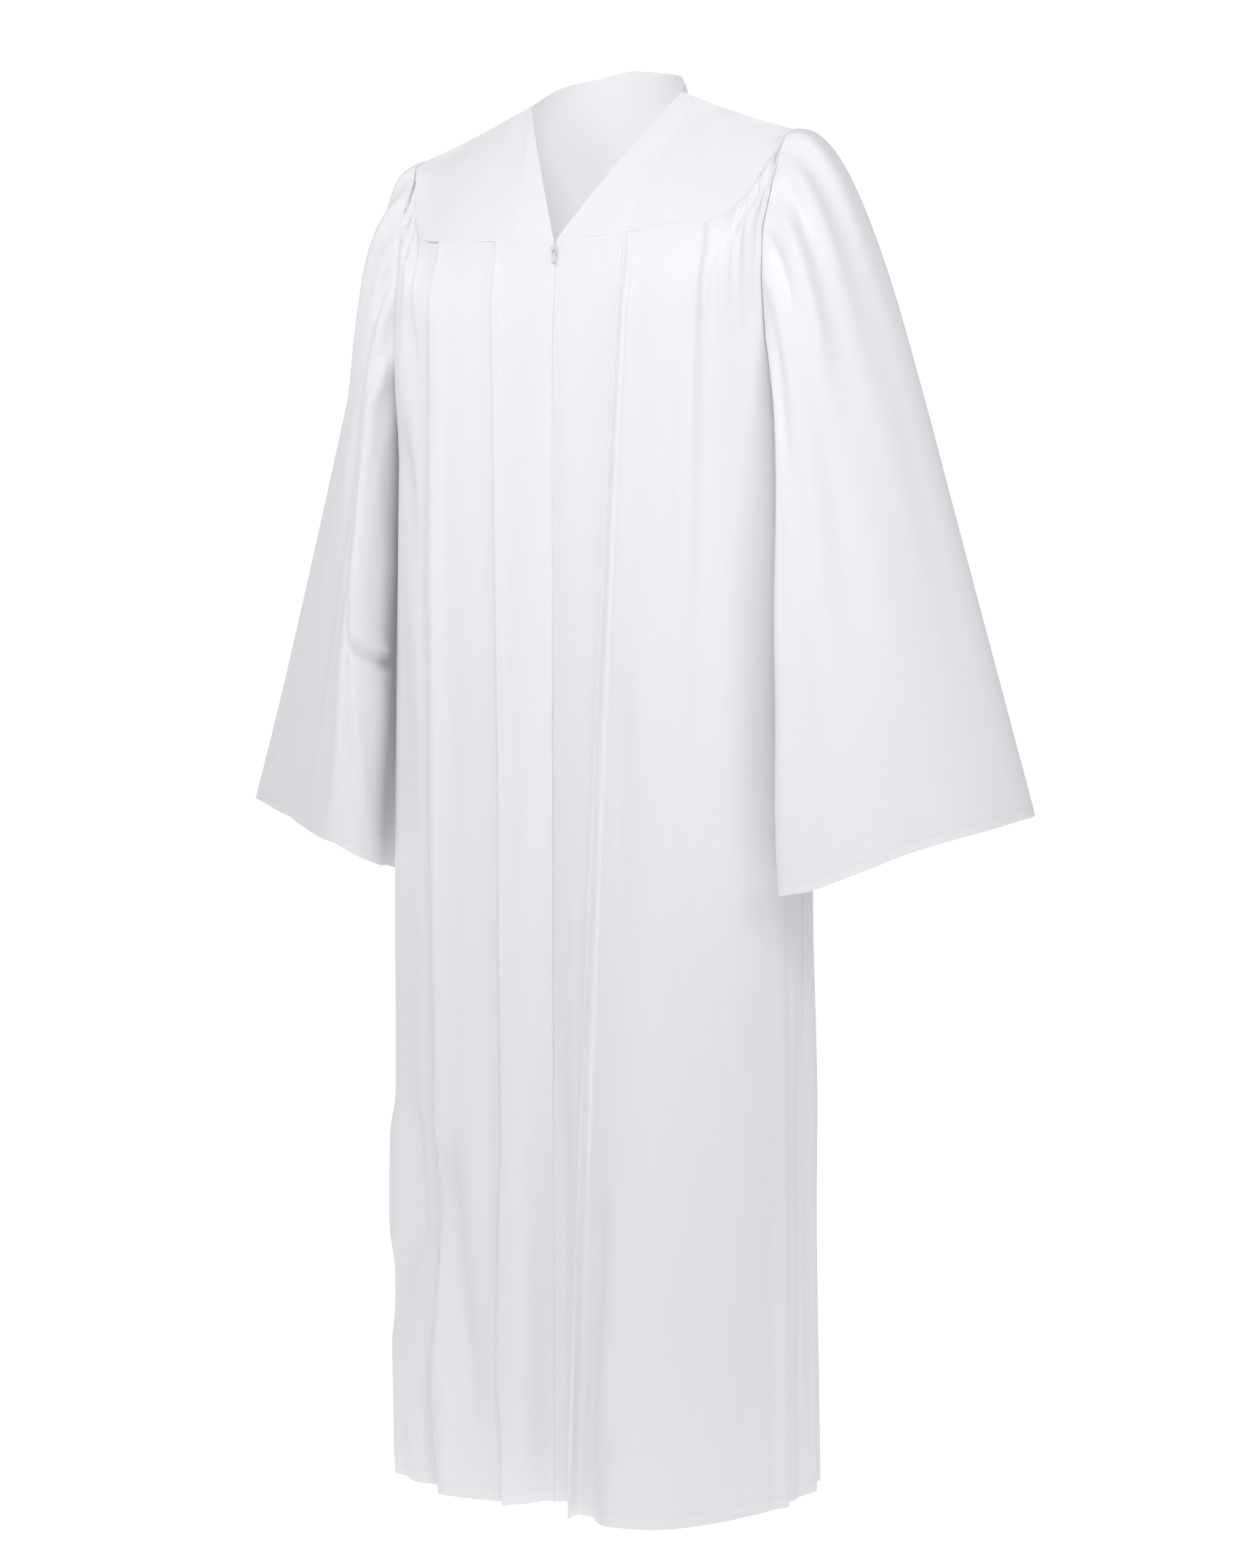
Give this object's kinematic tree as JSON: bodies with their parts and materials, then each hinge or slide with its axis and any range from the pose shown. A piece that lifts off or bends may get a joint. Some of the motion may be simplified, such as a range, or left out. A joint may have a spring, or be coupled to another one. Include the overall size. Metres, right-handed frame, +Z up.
{
  "type": "choir robe",
  "caption": "Full-length white robe with an open V neck, curved front yoke, pleated fronts, a centre front zip, gathered back and wide bell sleeves, in its worn form.",
  "frame": {"origin": "midway between the two neck side points, where the wearer's shoulders carry the robe", "axes": "+Z up, the robe's front faces -Y, the wearer's left is +X"},
  "size_m": [0.865, 0.3405, 1.4201],
  "materials": {
    "front_yoke_left": "matte woven polyester",
    "front_yoke_right": "matte woven polyester",
    "back_yoke": "matte woven polyester",
    "front_panel_left": "matte woven polyester",
    "front_panel_right": "matte woven polyester",
    "back_panel_left": "matte woven polyester",
    "back_panel_right": "matte woven polyester",
    "sleeve_left": "matte woven polyester",
    "sleeve_right": "matte woven polyester",
    "zip_chain": "woven tape with a moulded coil",
    "zip_slider": "white enamel",
    "zip_pull": "white enamel"
  },
  "bodies": {
    "robe": {"front_yoke_left": "front_yoke_left", "front_yoke_right": "front_yoke_right", "back_yoke": "back_yoke", "front_panel_left": "front_panel_left", "front_panel_right": "front_panel_right", "back_panel_left": "back_panel_left", "back_panel_right": "back_panel_right", "sleeve_left": "sleeve_left", "sleeve_right": "sleeve_right", "zip_chain": "zip_chain", "zip_slider": "zip_slider"},
    "pull_tab": {"zip_pull": "zip_pull"}
  },
  "joints": [
    {"name": "pull_tab_swing", "type": "hinge", "parent": "robe", "child": "pull_tab", "pos_m": [0, -0.12128, -0.167], "axis": [-1, 0, 0], "range_deg": [0, 150]}
  ]
}
